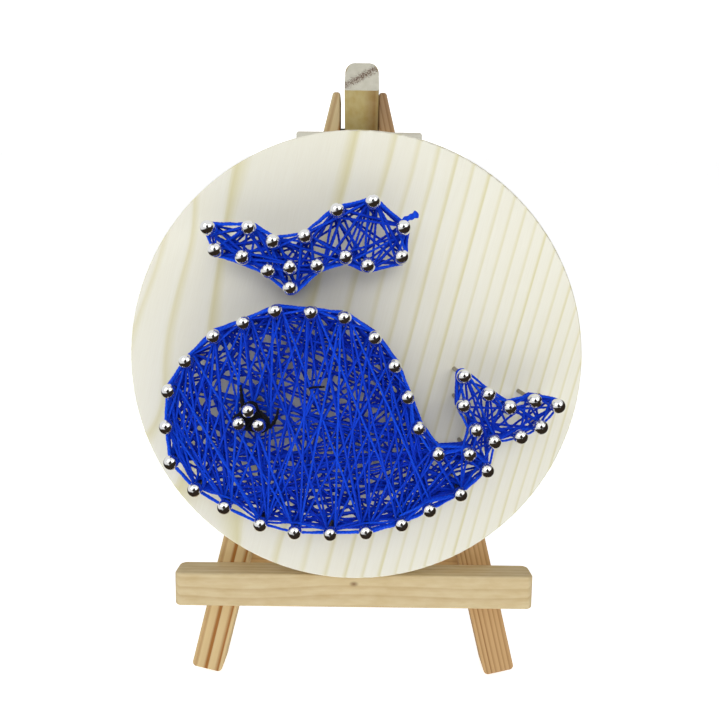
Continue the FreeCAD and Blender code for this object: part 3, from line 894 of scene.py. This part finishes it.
def chrome():
    """Polished ball heads on plain drawn shanks."""
    maker = Maker("polished_nail")
    under_head = HEAD_HEIGHT - math.sqrt(HEAD_RADIUS ** 2 - NAIL_RADIUS ** 2)
    neck = float(ORIGIN @ AXES[2]) + under_head * MM
    head = maker.math("GREATER_THAN", maker.dot(maker.place(), Vector(AXES[2])), neck)
    scuff = maker.noise(maker.place(), 900.0, detail=3.0)
    shine = maker.math("MULTIPLY_ADD", scuff, 0.06, 0.04)
    maker.set(Base_Color=maker.mix(head, srgb(150, 140, 120), srgb(240, 240, 240)),
              Roughness=maker.mix(head, (0.38, 0.38, 0.38, 1), shine))
    maker.shader.inputs["Metallic"].default_value = 1.0
    maker.bump(scuff, 0.05, 0.00002)
    return maker.material


def steel():
    """Dark plain steel of the hinge pin and the brads."""
    maker = Maker("dark_steel")
    mottle = maker.noise(maker.place(), 700.0, detail=4.0)
    maker.set(Base_Color=maker.mix(mottle, srgb(58, 52, 46), srgb(120, 112, 102)),
              Roughness=maker.math("MULTIPLY_ADD", mottle, 0.25, 0.3))
    maker.shader.inputs["Metallic"].default_value = 1.0
    maker.bump(mottle, 0.1, 0.00002)
    return maker.material


def dress_metal():
    """The picture's nails, and the easel's pin and brads."""
    polished = chrome()
    for node in ("cloud_nails", "body_nails", "tail_nails", "eye_nails"):
        paint(node, polished)
    dark = steel()
    for node in ("hinge_pin", "crossbar_brads", "ledge_brads", "rail_brads"):
        paint(node, dark)


def thread(name, deep, bright, sheen):
    """Twisted thread: plies with painted shade in their grooves, loose fibres, and strands of
    uneven tone and painted shade by height.
    """
    maker = Maker(name)
    shade = maker.node("ShaderNodeAttribute", attribute_name="shade").outputs["Fac"]
    length = maker.node("ShaderNodeAttribute", attribute_name="length").outputs["Fac"]
    turn = maker.node("ShaderNodeAttribute", attribute_name="turn").outputs["Fac"]
    fibre_place = maker.node("ShaderNodeCombineXYZ", {0: maker.math("MULTIPLY", length, 1.6),
                                                      1: maker.math("SINE", turn),
                                                      2: maker.math("COSINE", turn)}).outputs[0]
    fibre = maker.noise(fibre_place, 3.0, detail=3.0)
    ply = maker.math("COSINE", maker.math("MULTIPLY", turn, 2.0))
    groove = maker.math("MULTIPLY_ADD", ply, 0.5, 0.5)
    patch = maker.noise(maker.place(), 60.0, detail=1.0)
    # How light each point is, from deep to bright: the shade attribute's random tone and painted
    # shade, with fibre and patch tone.
    light = maker.math("MULTIPLY_ADD", shade, 0.8, maker.math("MULTIPLY", fibre, 0.3))
    light = maker.math("MULTIPLY_ADD", patch, 0.2, maker.math("SUBTRACT", light, 0.2))
    colour = maker.mix(light, deep, bright)
    # Painted shade: the grooves between the plies are darkened towards deep.
    colour = maker.mix(maker.math("MULTIPLY_ADD", groove, -0.35, 0.35), colour, deep)
    maker.set(Base_Color=colour, Roughness=maker.math("MULTIPLY_ADD", fibre, 0.2, 0.5))
    maker.shader.inputs["Specular IOR Level"].default_value = 0.14
    maker.shader.inputs["Sheen Weight"].default_value = sheen
    maker.shader.inputs["Sheen Roughness"].default_value = 0.4
    maker.bump(maker.math("ADD", fibre, groove), 0.4, 0.00008)
    return maker.material


# ---------------------------------------------------------------- stage

CAMERA_SENSOR = 36.0
CAMERA_LENS = 32.0
CAMERA_PLACE = (1.2, 23.5, 211.2)   # in the picture's own turned frame, millimetres
CAMERA_TILT = math.radians(6.13)    # the line of sight against the board's normal


def set_camera():
    """A camera in front of the picture, level with the picture's own upright."""
    x, y, z = (Vector(row) for row in AXES)
    right = x * math.cos(PICTURE_TURN) + y * math.sin(PICTURE_TURN)
    up = y * math.cos(PICTURE_TURN) - x * math.sin(PICTURE_TURN)
    sideways, upwards, outwards = CAMERA_PLACE
    place = Vector(ORIGIN) + (right * sideways + up * upwards + z * outwards) * MM
    back = up * math.sin(CAMERA_TILT) + z * math.cos(CAMERA_TILT)
    above = up * math.cos(CAMERA_TILT) - z * math.sin(CAMERA_TILT)
    data = bpy.data.cameras.new("camera")
    data.sensor_width = CAMERA_SENSOR
    data.lens = CAMERA_LENS
    data.clip_start = 0.01
    camera = bpy.data.objects.new("camera", data)
    turn = Matrix((right, above, back)).transposed()
    camera.matrix_world = Matrix.Translation(place) @ turn.to_4x4()
    bpy.context.scene.collection.objects.link(camera)
    bpy.context.scene.camera = camera


def soft_box(name, place, size, power, aim):
    """A rectangular studio light that faces a point."""
    data = bpy.data.lights.new(name, "AREA")
    data.shape = "RECTANGLE"
    data.size, data.size_y = size
    data.energy = power
    lamp = bpy.data.objects.new(name, data)
    lamp.location = place
    lamp.rotation_euler = (Vector(place) - Vector(aim)).to_track_quat("Z", "Y").to_euler()
    bpy.context.scene.collection.objects.link(lamp)
    return lamp


def set_lights():
    """Two soft boxes above the front, and a lower one that the nail heads don't mirror."""
    aim = Vector(ORIGIN)
    soft_box("soft_left", (-0.42, -0.5, 0.72), (0.62, 0.6), 1.25, aim)
    soft_box("soft_right", (0.42, -0.5, 0.72), (0.62, 0.6), 1.06, aim)
    front = soft_box("soft_front", (0.04, -0.75, 0.52), (0.4, 0.3), 2.2, aim)
    front.visible_glossy = False


def set_room():
    """A pale room that darkens to the right and below, with a dark patch in front of the picture.

    It looks brighter in the polished metal than it lights, and plain white behind the object.
    """
    world = bpy.data.worlds.new("room")
    world.use_nodes = True
    bpy.context.scene.world = world
    room = Nodes(world.node_tree)
    way = room.node("ShaderNodeTexCoord").outputs["Generated"]
    brighter = Vector((-0.42, 0, 1)).normalized()
    walls = room.ramp(room.dot(way, brighter), [(0.0, (0.035, 0.025, 0.018, 1)),
                                                (0.22, (1.0, 1.0, 1.0, 1))])
    patch = Vector((0, -0.86, 0.5)).normalized()
    apart = room.node("ShaderNodeVectorMath", {0: way, 1: patch}, operation="DISTANCE")
    beside_patch = room.fade(apart.outputs["Value"], 0.36, 0.5)
    light = room.mix(beside_patch, (0.02, 0.015, 0.012, 1), walls)
    ray = room.node("ShaderNodeLightPath").outputs
    light = room.mix(ray["Is Glossy Ray"], light, (1.8, 1.8, 1.8, 1), "MULTIPLY")
    light = room.mix(ray["Is Camera Ray"], light, (3.0, 3.0, 3.0, 1))
    background = room.tree.nodes["Background"]
    room.feed(background.inputs["Color"], light)
    background.inputs["Strength"].default_value = 0.46


def set_floor():
    """A plain pale floor that the easel stands on."""
    mesh = bpy.data.meshes.new("floor")
    reach = 3.0
    corners = [(-reach, -reach, 0), (reach, -reach, 0), (reach, reach, 0), (-reach, reach, 0)]
    mesh.from_pydata(corners, [], [(0, 1, 2, 3)])
    floor = bpy.data.objects.new("floor", mesh)
    bpy.context.scene.collection.objects.link(floor)
    maker = Maker("pale_floor")
    tone = maker.noise(maker.place(), 4.0)
    maker.set(Base_Color=maker.mix(tone, (0.93, 0.93, 0.93, 1), (0.96, 0.96, 0.96, 1)))
    maker.shader.inputs["Roughness"].default_value = 0.9
    maker.shader.inputs["Specular IOR Level"].default_value = 0.1
    maker.shader.inputs["Emission Color"].default_value = (1, 1, 1, 1)
    maker.shader.inputs["Emission Strength"].default_value = 0.63
    mesh.materials.append(maker.material)
    floor.visible_glossy = False


blue = thread("blue_cotton", srgb(3, 26, 168), srgb(16, 96, 255), 0.02)
black = thread("black_cotton", srgb(5, 5, 7), srgb(26, 26, 32), 0.03)
wind_whale(blue)
wind_tail(blue)
wind_cloud(blue)
wind_eye(black)
tie_knot(blue)
dress_wood()
dress_metal()
set_floor()
set_lights()
set_room()
set_camera()
bpy.context.scene.view_settings.view_transform = "Standard"
